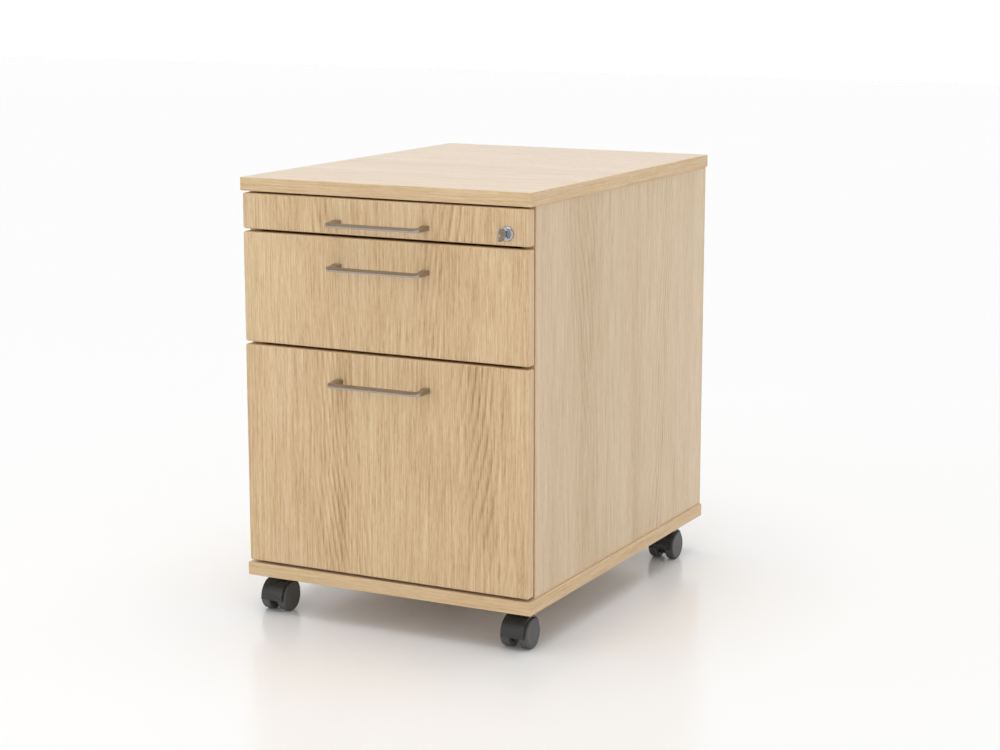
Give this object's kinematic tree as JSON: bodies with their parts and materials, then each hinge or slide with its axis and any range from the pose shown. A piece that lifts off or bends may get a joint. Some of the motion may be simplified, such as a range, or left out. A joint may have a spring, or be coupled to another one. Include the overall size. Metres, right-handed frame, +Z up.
{
  "type": "rolling pedestal cabinet",
  "caption": "Low wooden office pedestal on swivel castors, with a pencil drawer, a box drawer and a filing drawer on slides, bow handles and a key lock.",
  "frame": {"origin": "on the floor under the middle of the whole object, handles included", "axes": "+Z up, +Y from the drawer fronts to the back, +X to the user's right as they face the drawers"},
  "size_m": [0.43, 0.61, 0.5965],
  "materials": {
    "oak_front": "oak-pattern melamine, upright grain",
    "oak_board": "oak-pattern melamine",
    "drawer_board": "pale grey melamine",
    "handle_nickel": "satin nickel",
    "lock_chrome": "polished",
    "key_steel": "nickel plated",
    "zinc_steel": "bright zinc plated",
    "black_plastic": "moulded",
    "castor_grey": "moulded",
    "wheel_grey": "moulded"
  },
  "bodies": {
    "carcass": {"top_panel": "oak_board", "bottom_panel": "oak_board", "left_side": "oak_board", "right_side": "oak_board", "back_panel": "oak_board", "cam_housings": "zinc_steel", "cam_bolts": "zinc_steel", "pencil_slide_channels": "zinc_steel", "box_slide_channels": "zinc_steel", "file_slide_channels": "zinc_steel", "slide_screws": "zinc_steel", "lock_bar_screws": "zinc_steel", "castor_plates": "zinc_steel", "castor_stems": "zinc_steel", "castor_screws": "zinc_steel"},
    "pencil_drawer": {"pencil_front": "oak_front", "pencil_handle": "handle_nickel", "pencil_handle_screws": "zinc_steel", "pencil_tray": "black_plastic", "pencil_slide_runners": "zinc_steel", "lock_housing": "lock_chrome"},
    "lock_plug": {"lock_barrel": "lock_chrome", "lock_cam": "zinc_steel", "lock_key": "key_steel"},
    "lock_bar": {"lock_bar": "zinc_steel"},
    "box_drawer": {"box_front": "oak_front", "box_handle": "handle_nickel", "box_handle_screws": "zinc_steel", "box_drawer_left_side": "drawer_board", "box_drawer_right_side": "drawer_board", "box_drawer_floor": "drawer_board", "box_drawer_back": "drawer_board", "box_slide_runners": "zinc_steel"},
    "file_drawer": {"file_front": "oak_front", "file_handle": "handle_nickel", "file_handle_screws": "zinc_steel", "file_drawer_left_side": "drawer_board", "file_drawer_right_side": "drawer_board", "file_drawer_floor": "drawer_board", "file_drawer_back": "drawer_board", "file_hanging_rails": "zinc_steel", "file_slide_runners": "zinc_steel"},
    "file_slide_middle": {"file_slide_middles": "zinc_steel"},
    "front_left_castor": {"front_left_castor_hood": "castor_grey", "front_left_castor_axle": "zinc_steel"},
    "front_left_outer_wheel": {"front_left_castor_outer_wheel": "wheel_grey"},
    "front_left_inner_wheel": {"front_left_castor_inner_wheel": "wheel_grey"},
    "front_right_castor": {"front_right_castor_hood": "castor_grey", "front_right_castor_axle": "zinc_steel"},
    "front_right_outer_wheel": {"front_right_castor_outer_wheel": "wheel_grey"},
    "front_right_inner_wheel": {"front_right_castor_inner_wheel": "wheel_grey"},
    "rear_left_castor": {"rear_left_castor_hood": "castor_grey", "rear_left_castor_axle": "zinc_steel"},
    "rear_left_outer_wheel": {"rear_left_castor_outer_wheel": "wheel_grey"},
    "rear_left_inner_wheel": {"rear_left_castor_inner_wheel": "wheel_grey"},
    "rear_right_castor": {"rear_right_castor_hood": "castor_grey", "rear_right_castor_axle": "zinc_steel"},
    "rear_right_outer_wheel": {"rear_right_castor_outer_wheel": "wheel_grey"},
    "rear_right_inner_wheel": {"rear_right_castor_inner_wheel": "wheel_grey"}
  },
  "joints": [
    {"name": "pencil_drawer_slide", "type": "slide", "parent": "carcass", "child": "pencil_drawer", "axis": [0, -1, 0], "range_m": [0, 0.35]},
    {"name": "box_drawer_slide", "type": "slide", "parent": "carcass", "child": "box_drawer", "axis": [0, -1, 0], "range_m": [0, 0.375]},
    {"name": "file_drawer_slide", "type": "slide", "parent": "carcass", "child": "file_drawer", "axis": [0, -1, 0], "range_m": [0, 0.46]},
    {"name": "file_middle_slide", "type": "slide", "parent": "carcass", "child": "file_slide_middle", "axis": [0, -1, 0], "range_m": [0, 0.23]},
    {"name": "lock_turn", "type": "hinge", "parent": "pencil_drawer", "child": "lock_plug", "pos_m": [0.181, -0.275, 0.544], "axis": [0, -1, 0], "range_deg": [0, 90]},
    {"name": "lock_bar_lift", "type": "slide", "parent": "carcass", "child": "lock_bar", "axis": [0, 0, 1], "range_m": [0, 0.0123]},
    {"name": "front_left_swivel", "type": "hinge", "parent": "carcass", "child": "front_left_castor", "pos_m": [-0.184, -0.227, 0.05], "axis": [0, 0, 1], "continuous": true},
    {"name": "front_left_outer_roll", "type": "hinge", "parent": "front_left_castor", "child": "front_left_outer_wheel", "pos_m": [-0.184, -0.243, 0.02], "axis": [1, 0, 0], "continuous": true},
    {"name": "front_left_inner_roll", "type": "hinge", "parent": "front_left_castor", "child": "front_left_inner_wheel", "pos_m": [-0.184, -0.243, 0.02], "axis": [1, 0, 0], "continuous": true},
    {"name": "front_right_swivel", "type": "hinge", "parent": "carcass", "child": "front_right_castor", "pos_m": [0.184, -0.227, 0.05], "axis": [0, 0, 1], "continuous": true},
    {"name": "front_right_outer_roll", "type": "hinge", "parent": "front_right_castor", "child": "front_right_outer_wheel", "pos_m": [0.184, -0.243, 0.02], "axis": [1, 0, 0], "continuous": true},
    {"name": "front_right_inner_roll", "type": "hinge", "parent": "front_right_castor", "child": "front_right_inner_wheel", "pos_m": [0.184, -0.243, 0.02], "axis": [1, 0, 0], "continuous": true},
    {"name": "rear_left_swivel", "type": "hinge", "parent": "carcass", "child": "rear_left_castor", "pos_m": [-0.184, 0.257, 0.05], "axis": [0, 0, 1], "continuous": true},
    {"name": "rear_left_outer_roll", "type": "hinge", "parent": "rear_left_castor", "child": "rear_left_outer_wheel", "pos_m": [-0.184, 0.241, 0.02], "axis": [1, 0, 0], "continuous": true},
    {"name": "rear_left_inner_roll", "type": "hinge", "parent": "rear_left_castor", "child": "rear_left_inner_wheel", "pos_m": [-0.184, 0.241, 0.02], "axis": [1, 0, 0], "continuous": true},
    {"name": "rear_right_swivel", "type": "hinge", "parent": "carcass", "child": "rear_right_castor", "pos_m": [0.184, 0.257, 0.05], "axis": [0, 0, 1], "continuous": true},
    {"name": "rear_right_outer_roll", "type": "hinge", "parent": "rear_right_castor", "child": "rear_right_outer_wheel", "pos_m": [0.184, 0.241, 0.02], "axis": [1, 0, 0], "continuous": true},
    {"name": "rear_right_inner_roll", "type": "hinge", "parent": "rear_right_castor", "child": "rear_right_inner_wheel", "pos_m": [0.184, 0.241, 0.02], "axis": [1, 0, 0], "continuous": true}
  ],
  "couplings": [
    {"joint": "file_middle_slide", "follows": "file_drawer_slide", "ratio": 0.5},
    {"joint": "lock_bar_lift", "follows": "lock_turn", "m_per_rad": 0.0072}
  ]
}
